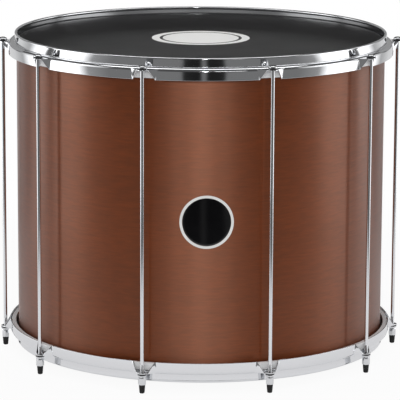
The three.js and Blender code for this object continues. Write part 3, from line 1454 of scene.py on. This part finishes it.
    def build(self) -> None:
        """Builds the hoop once and places it at the top and, turned over, at the bottom."""
        ring = self.ring()
        ears = self.round_the_hoop(self.ear(), "ear")
        at_both_ends(
            join("hoop_pattern", [ring, *ears]),
            (LAYOUT.top_rim, LAYOUT.bottom_rim),
            (HOOP_PIECE, HOOP_PLATE, "top_counterhoop"),
            ("bottom_pressed_hoop", HOOP_PLATE, "bottom_counterhoop"),
        )


@dataclass(frozen=True)
class WasherSize:
    """A washer's hole and outer radius, its two heights, and how its edges are rounded."""

    hole: float
    radius: float
    base: float
    top: float
    hole_break: float = 0.3
    edge_break: float = 0.6


@dataclass
class TensionStation:
    """A square-necked rod with its washers, flanged nut and rubber foot, built on the Z axis."""

    seat: float = 518.5
    tip: float = 17.3
    dome_radius: float = 7.0
    dome_edge: float = 0.9
    dome_rise: float = 3.5
    dome_break: float = 0.3
    dome_steps: int = 8
    neck_half: float = 3.0
    neck_drop: float = 4.0
    neck_overlap: float = 0.2
    neck_break: float = 0.4
    tip_bevel: float = 0.8
    upper_washer: WasherSize = WasherSize(hole=4.64, radius=7.4, base=516.4, top=518.2)
    lower_washer: WasherSize = WasherSize(hole=3.4, radius=7.2, base=30.0, top=31.8)
    nut_base: float = 13.9
    nut_top: float = 29.7
    nut_flats: float = 11.0
    nut_break: float = 0.3
    chamfer_inset: float = 0.1
    chamfer_height: float = 0.7
    flange_radius: float = 7.0
    flange_height: float = 1.6
    flange_cone: float = 2.0
    flange_foot: float = 0.2
    flange_break: float = 0.3
    flange_rim: float = 0.4
    bore: float = 3.4
    foot_top: float = 13.6
    foot_radius: float = 5.1
    foot_tip: float = 4.0
    foot_round: float = 1.9
    foot_shoulder: float = 0.8
    foot_steps: int = 6
    plug_radius: float = 3.0
    plug_top: float = 15.6
    plug_round: float = 0.4
    round_segments: int = 40
    edge_steps: int = 3

    def rod(self) -> bpy.types.Object:
        """The rod: a domed head, a square neck and a long threaded shaft.

        Returns:
            The pattern, at the origin.
        """
        rim = self.seat + self.dome_edge
        dome = [
            (self.dome_radius * math.sin(a), rim + self.dome_rise * math.cos(a))
            for a in (math.pi / 2 * n / self.dome_steps for n in range(1, self.dome_steps + 1))
        ]
        section = [
            (0.0, rim + self.dome_rise),
            *dome,
            (self.dome_radius, self.seat + self.dome_break),
            (self.dome_radius - self.dome_break, self.seat),
            (LAYOUT.rod_radius, self.seat),
            (LAYOUT.rod_radius, self.tip + self.tip_bevel),
            (LAYOUT.rod_radius - self.tip_bevel, self.tip),
            (0.0, self.tip),
        ]
        shaft = turn("shaft_pattern", section, self.round_segments)
        half = self.neck_half
        low = (-half, -half, self.seat - self.neck_drop)
        high = (half, half, self.seat + self.neck_overlap)
        neck = block("neck_pattern", low, high, self.neck_break)
        return join("rod_pattern", [shaft, neck])

    def washer(self, size: WasherSize) -> bpy.types.Object:
        """A flat washer with rounded edges.

        Args:
            size: the washer's sizes.

        Returns:
            The washer.
        """
        corners = [
            (size.hole, size.base, size.hole_break),
            (size.radius, size.base, size.edge_break),
            (size.radius, size.top, size.edge_break),
            (size.hole, size.top, size.hole_break),
        ]
        return turn("washer_pattern", rounded(corners, self.edge_steps), self.round_segments)

    def nut(self) -> bpy.types.Object:
        """A long hexagonal nut with a flange at its top and chamfered corners at its foot end.

        Returns:
            The pattern, at the origin.
        """
        under = self.nut_top - self.flange_height
        corner = self.nut_flats / math.sqrt(3)
        clear_selection()
        bpy.ops.mesh.primitive_cylinder_add(
            vertices=6,
            radius=corner * MM,
            depth=(under - self.nut_base) * MM,
            location=(0, 0, (under + self.nut_base) / 2 * MM),
        )
        hexagon = added("hexagon_pattern")
        chamfer = [
            (0.0, self.nut_base),
            (self.nut_flats / 2 - self.chamfer_inset, self.nut_base),
            (corner, self.nut_base + self.chamfer_height),
            (corner, self.nut_top),
            (0.0, self.nut_top),
        ]
        cut(hexagon, turn("chamfer_pattern", chamfer, self.round_segments), "INTERSECT")
        past = 2 * self.nut_top
        hole = [(0.0, 0.0), (self.bore, 0.0), (self.bore, past), (0.0, past)]
        cut(hexagon, turn("bore_pattern", hole, self.round_segments))
        break_edges(hexagon, self.nut_break, strips=2, sharper_than=35.0)
        neck = under - self.flange_cone
        corners = [
            (self.bore, self.nut_top, self.flange_break),
            (self.bore, neck, self.flange_foot),
            (self.nut_flats / 2, neck, self.flange_foot),
            (self.flange_radius - self.flange_foot, under, self.flange_break),
            (self.flange_radius, under + self.flange_break, 0.0),
            (self.flange_radius, self.nut_top, self.flange_rim),
        ]
        flange = turn("flange_pattern", rounded(corners, self.edge_steps), self.round_segments)
        return finish_mesh(join("nut_pattern", [hexagon, flange]))

    def foot(self) -> bpy.types.Object:
        """A tapered rubber foot with a rounded end, plugged into the nut.

        Returns:
            The pattern, at the origin.
        """
        corners = [
            (0.0, 0.0, 0.0),
            (self.foot_tip, 0.0, self.foot_round),
            (self.foot_radius, self.foot_top, self.foot_shoulder),
            (self.plug_radius, self.foot_top, 0.0),
            (self.plug_radius, self.plug_top, self.plug_round),
            (0.0, self.plug_top, 0.0),
        ]
        return turn("foot_pattern", rounded(corners, self.foot_steps), self.round_segments)

    def build(self) -> None:
        """Builds each piece once and places it at every station."""
        rod, nut, foot = self.rod(), self.nut(), self.foot()
        upper, lower = self.washer(self.upper_washer), self.washer(self.lower_washer)
        for n in range(1, LAYOUT.station_count + 1):
            angle = LAYOUT.station_angle(n)
            place = (LAYOUT.rod_circle * math.cos(angle), LAYOUT.rod_circle * math.sin(angle), 0.0)
            drum, on_rod, on_tuner = Body.DRUM.value, Body.ROD.at(n), Body.TUNER.at(n)
            for pattern, stem, finish, body, node in (
                (rod, "domed_rod", ROD_PLATE, on_rod, "tension_rod"),
                (upper, "head_washer", NYLON, drum, "upper_washer"),
                (lower, "nut_washer", NYLON, drum, "lower_washer"),
                (nut, "flanged_nut", NUT_PLATE, on_tuner, "tuning_nut"),
                (foot, "tapered_foot", RUBBER, on_tuner, "rubber_foot"),
            ):
                piece = placed_copy(pattern, f"{stem}_{n:02d}", place, turn_z=angle)
                dress(piece, finish, body, [f"{node}_{n:02d}"])
        throw_away(rod, nut, foot, upper, lower)


@dataclass
class Badge:
    """The plain round badge on the front of the shell: a field and a raised rim."""

    height: float = 274.1
    back: float = 304.3
    field_radius: float = 38.0
    field_sheet: float = 0.8
    rim_inner: float = 38.3
    rim_outer: float = 42.5
    rim_sheet: float = 1.2
    sides: int = 160
    field_rings: int = 12
    field_ring: float = 3.0
    rim_rings: int = 3
    edge_break: float = 0.25
    edge_strips: int = 3
    stand_off: float = 1.2
    former_wall: float = 1.0
    former_reach: float = 2.0
    former_detail: int = 5

    def disc(self, name: str, radius: float, insets: int, inset: float) -> bpy.types.Object:
        """A flat disc in front of the shell, divided into rings.

        Args:
            name: name of the new object.
            radius: the disc's radius.
            insets: number of rings.
            inset: width of each ring.

        Returns:
            The disc in edit mode, with its innermost face selected.
        """
        clear_selection()
        bpy.ops.mesh.primitive_circle_add(
            vertices=self.sides,
            radius=radius * MM,
            fill_type="NGON",
            location=(0, -self.stand_off * self.back * MM, self.height * MM),
            rotation=(math.pi / 2, 0, 0),
        )
        disc = added(name)
        edit(disc, "FACE")
        for _ in range(insets):
            bpy.ops.mesh.inset(thickness=inset * MM)
        return disc

    def wrap(
        self, disc: bpy.types.Object, former: bpy.types.Object, sheet: float
    ) -> bpy.types.Object:
        """Lays a disc on the shell's curve and gives it its thickness.

        Args:
            disc: the disc, in front of the shell.
            former: the curve that it lies on.
            sheet: its thickness.

        Returns:
            The same disc.
        """
        apply_modifier(
            disc,
            "SHRINKWRAP",
            target=former,
            wrap_method="PROJECT",
            use_project_y=True,
            use_positive_direction=True,
            use_negative_direction=False,
        )
        apply_modifier(disc, "SOLIDIFY", thickness=sheet * MM, offset=1, use_even_offset=True)
        break_edges(disc, self.edge_break, self.edge_strips, sharper_than=50.0)
        return finish_mesh(disc)

    def build(self) -> None:
        """Builds the field and the rim."""
        reach = self.former_reach * self.rim_outer
        low, high = self.height - reach, self.height + reach
        inner = self.back - self.former_wall
        section = [(self.back, low), (self.back, high), (inner, high), (inner, low)]
        former = turn("badge_former", section, self.former_detail * LAYOUT.ring_segments)
        drum = Body.DRUM.value
        plate = self.disc("badge_field", self.field_radius, self.field_rings, self.field_ring)
        dress(self.wrap(plate, former, self.field_sheet), FIELD_ENAMEL, drum, ["badge_plate"])
        rim_ring = (self.rim_outer - self.rim_inner) / self.rim_rings
        rim = self.disc("badge_rim", self.rim_outer, self.rim_rings, rim_ring)
        bpy.ops.mesh.delete(type="FACE")
        dress(self.wrap(rim, former, self.rim_sheet), RIM_ENAMEL, drum, ["badge_ring"])
        throw_away(former)


@dataclass(frozen=True)
class Lamp:
    """A soft rectangular lamp: its place and size in metres, its power in watts, its target.

    A lamp that names a piece in gleam_on is mirrored by that piece alone and lights nothing.
    """

    name: str
    place: Place
    size: tuple[float, float]
    power: float
    target: Place = (0.0, 0.0, 0.3)
    mirrored: bool = True
    gleam_on: str = ""

    def build(self) -> None:
        """Places the lamp and ties it to the piece that mirrors it."""
        data = bpy.data.lights.new(self.name, "AREA")
        data.shape = "RECTANGLE"
        data.size, data.size_y = self.size
        data.energy = self.power
        lamp = bpy.data.objects.new(self.name, data)
        bpy.context.collection.objects.link(lamp)
        lamp.location = self.place
        aim = Vector(self.target) - Vector(self.place)
        lamp.rotation_euler = aim.to_track_quat("-Z", "Y").to_euler()
        lamp.visible_glossy = self.mirrored
        if self.gleam_on:
            lamp.visible_diffuse = False
            mirrors = bpy.data.collections.new(f"{self.name}_mirrors")
            mirrors.objects.link(bpy.data.objects[self.gleam_on])
            lamp.light_linking.receiver_collection = mirrors


def film_lamp(degrees: float, reach: float, power: float) -> Lamp:
    """A high lamp that only the batter film mirrors.

    Args:
        degrees: its angle round the drum from the front.
        reach: its distance from the drum's axis.
        power: its power.

    Returns:
        The lamp.
    """
    angle, height, size = math.radians(degrees), 1.7, (3.0, 1.3)
    place = (reach * math.sin(angle), -reach * math.cos(angle), height)
    return Lamp(f"film_glow_{degrees + 180:03.0f}", place, size, power, gleam_on=FILM_PIECE)


FRONT_PLACE = (-0.1, -4.3, 1.75)
LAMPS = (
    Lamp("front", FRONT_PLACE, (4.2, 0.7), 60.0, mirrored=False),
    Lamp("wide_glow", FRONT_PLACE, (4.2, 0.7), 60.0, gleam_on=SHELL_PIECE),
    Lamp("middle_glow", (-0.1, -4.25, 1.75), (2.7, 1.1), 44.0, gleam_on=SHELL_PIECE),
    Lamp("core_glow", (-0.1, -4.2, 1.75), (0.9, 1.2), 15.0, gleam_on=SHELL_PIECE),
    Lamp("strip", (0.06, -4.2, 1.5), (0.2, 0.9), 5.0, gleam_on=HOOP_PIECE),
    Lamp("side_strip", (1.1, -4.1, 1.6), (1.3, 0.3), 3.0, gleam_on=HOOP_PIECE),
    Lamp("rim_back", (0.0, 4.2, 1.7), (7.0, 1.5), 9.0, gleam_on=HOOP_PIECE),
    Lamp(
        "film_back",
        (0.0, 4.4, 0.66),
        (5.0, 0.30),
        25.0,
        target=(0.0, 0.0, 0.52),
        gleam_on=FILM_PIECE,
    ),
    film_lamp(-118.0, reach=4.3, power=18.0),
    film_lamp(-80.0, reach=4.3, power=44.0),
    film_lamp(-40.0, reach=1.9, power=14.0),
    film_lamp(0.0, reach=1.9, power=10.0),
    film_lamp(40.0, reach=1.9, power=14.0),
    film_lamp(80.0, reach=4.3, power=44.0),
    film_lamp(118.0, reach=4.3, power=18.0),
    Lamp("top", (0.0, -0.1, 3.0), (3.6, 0.9), 25.0),
)


@dataclass
class Studio:
    """A pale floor, soft lamps, a plain background, and the grey room that the plate mirrors.

    A band gives the room's brightness by how far it is round from the front, as stops of degrees
    and brightness.
    """

    floor_radius: float = 1.6
    floor_colour: Colour = (0.80, 0.80, 0.82)
    floor_mottle: float = 0.985
    floor_roughness: float = 0.9
    floor_specular: float = 0.2
    floor_shadow: float = 0.06
    floor_gleam: float = 0.5
    floor_fade: tuple[float, float] = (0.75, 1.35)
    floor_sides: int = 128
    room_radius: float = 6.5
    room_low: float = -2.5
    room_high: float = 4.5
    room_sides: int = 96
    band_height: tuple[float, float] = (0.55, 1.1)
    lower_band: tuple[Point, ...] = (
        (0.0, 0.20),
        (1.2, 0.13),
        (2.2, 0.012),
        (11.5, 0.02),
        (13.0, 0.19),
        (56.0, 0.19),
        (70.0, 0.32),
        (80.0, 1.9),
        (100.5, 2.0),
        (102.5, 0.10),
        (108.5, 0.10),
        (110.5, 1.9),
        (120.0, 1.5),
        (130.0, 0.45),
        (145.0, 0.70),
    )
    upper_band: tuple[Point, ...] = (
        (0.0, 0.07),
        (55.0, 0.09),
        (78.0, 1.9),
        (100.5, 1.9),
        (102.5, 0.10),
        (108.5, 0.10),
        (110.5, 1.6),
        (122.0, 1.0),
        (140.0, 0.07),
        (180.0, 0.03),
    )
    ceiling: float = 0.10
    sky: float = 0.52

    def build(self) -> None:
        """Sets the stage."""
        self.floor()
        self.room()
        self.roof()
        self.background()
        for lamp in LAMPS:
            lamp.build()

    def turn_share(self, wiring: Wiring, place: object) -> Socket:
        """How far a place is round the room: 0 at the front and 1 at the back.

        Args:
            wiring: the material's wiring.
            place: the Object coordinates.

        Returns:
            The share's socket.
        """
        parts = wiring.parts(place)
        toward = wiring.maths("MULTIPLY", parts["Y"], -1.0)
        angle = wiring.maths("ABSOLUTE", wiring.maths("ARCTAN2", parts["X"], toward))
        return wiring.maths("DIVIDE", angle, math.pi)

    def band(
        self, wiring: Wiring, turn_share: object, stops: Sequence[Point]
    ) -> Socket:
        """A colour ramp round the room.

        Args:
            wiring: the material's wiring.
            turn_share: 0 at the front and 1 at the back.
            stops: degrees from the front, and brightness.

        Returns:
            The ramp's colour socket.
        """
        node = wiring.add("ShaderNodeValToRGB")
        ramp = node.color_ramp
        while len(ramp.elements) < len(stops):
            ramp.elements.new(0.5)
        for element, (degrees, glow) in zip(ramp.elements, stops):
            element.position = degrees / 180
            element.color = grey(glow)
        wiring.feed(node.inputs[0], turn_share)
        return node.outputs[0]

    def floor(self) -> None:
        """A round floor under the feet: white to the camera, and it keeps a soft shadow.

        Reflections see it fade into the room's lower band.
        """
        clear_selection()
        bpy.ops.mesh.primitive_circle_add(
            vertices=self.floor_sides, radius=self.floor_radius, fill_type="NGON"
        )
        floor = added("studio_floor")
        paper = bpy.data.materials.new("floor_paper")
        wiring = Wiring.blank(paper)
        shader = wiring.add("ShaderNodeBsdfPrincipled")
        place = wiring.object_place()
        darker = (*(self.floor_mottle * channel for channel in self.floor_colour), 1.0)
        mottle = wiring.noise(place, scale=30.0, detail=3.0)
        tone = wiring.blend(mottle, (*self.floor_colour, 1.0), darker)
        away = wiring.spread(wiring.length(place), *self.floor_fade)
        far = self.band(wiring, self.turn_share(wiring, place), self.lower_band)
        wiring.feed(shader.inputs["Base Color"], wiring.blend(away, tone, far))
        shader.inputs["Roughness"].default_value = self.floor_roughness
        shader.inputs["Specular IOR Level"].default_value = self.floor_specular
        path = wiring.add("ShaderNodeLightPath").outputs
        white = wiring.maths("MULTIPLY_ADD", away, self.floor_shadow, 1.0 - self.floor_shadow)
        gleam = wiring.maths("MULTIPLY_ADD", away, -self.floor_gleam, self.floor_gleam)
        seen = wiring.maths("MULTIPLY", white, path["Is Camera Ray"])
        mirrored = wiring.maths("MULTIPLY", gleam, path["Is Glossy Ray"])
        share = wiring.maths("ADD", seen, mirrored)
        glow = wiring.run("ShaderNodeEmission", {})
        mixed = {"Fac": share, 1: shader.outputs[0], 2: glow}
        wiring.put_out(wiring.run("ShaderNodeMixShader", mixed))
        floor.data.materials.append(paper)

    def mirrored_only(self, name: str, material: bpy.types.Material) -> None:
        """Makes the primitive that was just added a part of the room, for reflections alone.

        Args:
            name: its name.
            material: its material.
        """
        thing = added(name)
        thing.data.materials.append(material)
        thing.visible_camera = False
        thing.visible_diffuse = False
        thing.visible_shadow = False
        thing.visible_transmission = False

    def glow_paint(self, name: str) -> tuple[bpy.types.Material, Wiring, Socket]:
        """A material that only glows.

        Args:
            name: its name.

        Returns:
            The material, its wiring and the socket of its colour.
        """
        paint = bpy.data.materials.new(name)
        wiring = Wiring.blank(paint)
        glow = wiring.add("ShaderNodeEmission")
        wiring.put_out(glow.outputs[0])
        return paint, wiring, glow.inputs["Color"]

    def room(self) -> None:
        """The room's round wall: dim at the front, white at the sides, dimmer at the back."""
        paint, wiring, colour = self.glow_paint("wall_paint")
        place = wiring.object_place()
        turn_share = self.turn_share(wiring, place)
        lower = self.band(wiring, turn_share, self.lower_band)
        upper = self.band(wiring, turn_share, self.upper_band)
        high = wiring.spread(wiring.parts(place)["Z"], *self.band_height)
        wiring.feed(colour, wiring.blend(high, lower, upper))
        clear_selection()
        bpy.ops.mesh.primitive_cylinder_add(
            vertices=self.room_sides,
            radius=self.room_radius,
            depth=self.room_high - self.room_low,
            location=(0, 0, (self.room_high + self.room_low) / 2),
            end_fill_type="NOTHING",
        )
        self.mirrored_only("studio_wall", paint)

    def roof(self) -> None:
        """The room's dark ceiling."""
        paint, _, colour = self.glow_paint("roof_paint")
        colour.default_value = grey(self.ceiling)
        clear_selection()
        bpy.ops.mesh.primitive_circle_add(
            vertices=self.room_sides,
            radius=self.room_radius,
            fill_type="NGON",
            location=(0, 0, self.room_high),
        )
        self.mirrored_only("studio_roof", paint)

    def background(self) -> None:
        """A world that is white to the camera and in reflections, and softer as a light."""
        world = bpy.data.worlds.new("studio_world")
        bpy.context.scene.world = world
        wiring = Wiring.blank(world)
        path = wiring.add("ShaderNodeLightPath").outputs
        seen = wiring.maths("MAXIMUM", path["Is Camera Ray"], path["Is Glossy Ray"])
        seen = wiring.maths("MAXIMUM", seen, path["Is Transmission Ray"])
        strength = wiring.maths("MULTIPLY_ADD", seen, 1.0 - self.sky, self.sky)
        sky = wiring.run("ShaderNodeBackground", {"Color": grey(1.0), "Strength": strength})
        wiring.put_out(sky, "ShaderNodeOutputWorld")


@dataclass(frozen=True)
class PhotoCamera:
    """The camera at the photograph's viewing angle."""

    lens: float = 246.196
    sensor: float = 36.0
    distance: float = 4.4810
    height: float = 1.1644
    swing: float = 1.990
    tilt: float = 11.567
    roll: float = 0.266
    clip: tuple[float, float] = (0.1, 100.0)

    def build(self) -> None:
        """Places the camera and makes it the scene's own."""
        data = bpy.data.cameras.new("photo_camera")
        data.lens = self.lens
        data.sensor_width = self.sensor
        data.clip_start, data.clip_end = self.clip
        camera = bpy.data.objects.new("photo_camera", data)
        bpy.context.collection.objects.link(camera)
        swing, tilt, roll = (math.radians(a) for a in (self.swing, self.tilt, self.roll))
        ahead = Vector((math.sin(swing), math.cos(swing), 0.0))
        level_right = Vector((math.cos(swing), -math.sin(swing), 0.0))
        level_up = ahead * math.sin(tilt) + Vector((0.0, 0.0, math.cos(tilt)))
        look = ahead * math.cos(tilt) - Vector((0.0, 0.0, math.sin(tilt)))
        right = level_right * math.cos(roll) + level_up * math.sin(roll)
        up = -level_right * math.sin(roll) + level_up * math.cos(roll)
        turned = Matrix((right, up, -look)).transposed().to_4x4()
        place = -ahead * self.distance + Vector((0.0, 0.0, self.height))
        camera.matrix_world = Matrix.Translation(place) @ turned
        bpy.context.scene.camera = camera


def write_sizes() -> None:
    """Updates the view layer."""
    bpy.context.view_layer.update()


def main() -> None:
    """Dresses the drum and sets the stage and the camera."""
    logging.basicConfig(level=logging.INFO, format="%(message)s", stream=sys.stdout)
    Shell().build()
    Head().build()
    Counterhoop().build()
    TensionStation().build()
    Badge().build()
    Studio().build()
    PhotoCamera().build()
    bpy.context.scene.view_settings.view_transform = "Standard"
    write_sizes()


if __name__ == "__main__":
    main()
